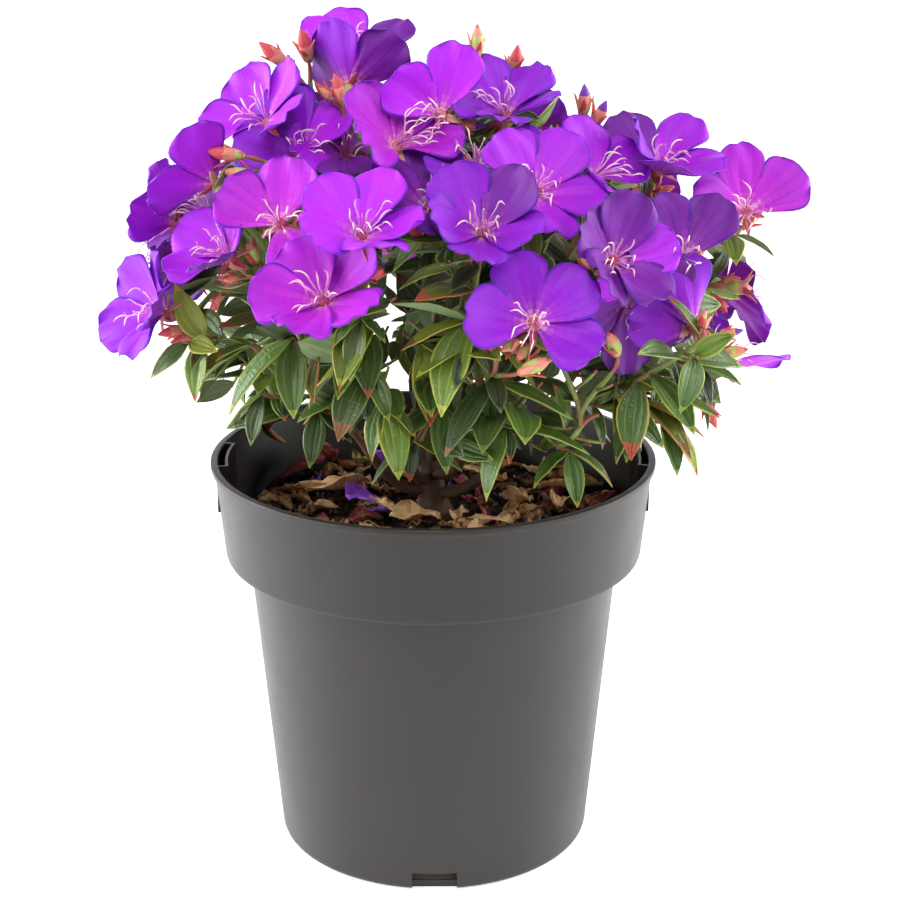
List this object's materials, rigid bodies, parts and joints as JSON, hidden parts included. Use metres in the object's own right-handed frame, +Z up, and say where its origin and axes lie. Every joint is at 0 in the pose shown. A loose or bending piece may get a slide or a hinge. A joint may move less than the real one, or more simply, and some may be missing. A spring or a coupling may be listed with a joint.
{
  "type": "potted flowering shrub",
  "caption": "A dwarf evergreen shrub in full violet blossom with pointed, ribbed leaves, in a round nursery pot with a deep collar.",
  "frame": {"origin": "On the pot's axis, in the plane of its flat underside.", "axes": "+Z is up, along the pot's axis. -Y is the side with the most blossom, which faces the viewer. +X is to the viewer's right. The hanger slots of the rim lie on +X and -X."},
  "size_m": [0.3007, 0.2781, 0.3779],
  "materials": {
    "pot_plastic": "satin charcoal-grey moulded polypropylene",
    "potting_mix": "dark, crumbly, matte",
    "bark": "thin brown bark, matte",
    "foliage": "glossy dark green leaves with violet petals"
  },
  "bodies": {
    "root": {"pot": "pot_plastic", "soil": "potting_mix", "trunk": "bark", "bough_top": "bark", "bough_upper_left": "bark", "bough_left": "bark", "bough_low_left": "bark", "bough_front_left": "bark", "bough_front": "bark", "bough_front_right": "bark", "bough_right": "bark", "bough_upper_right": "bark", "bough_back_right": "bark", "bough_back": "bark", "bough_back_left": "bark", "mass_top": "foliage", "mass_upper_left": "foliage", "mass_left": "foliage", "mass_low_left": "foliage", "mass_front_left": "foliage", "mass_front": "foliage", "mass_front_right": "foliage", "mass_right": "foliage", "mass_upper_right": "foliage", "mass_back_right": "foliage", "mass_back": "foliage", "mass_back_left": "foliage"}
  },
  "joints": []
}
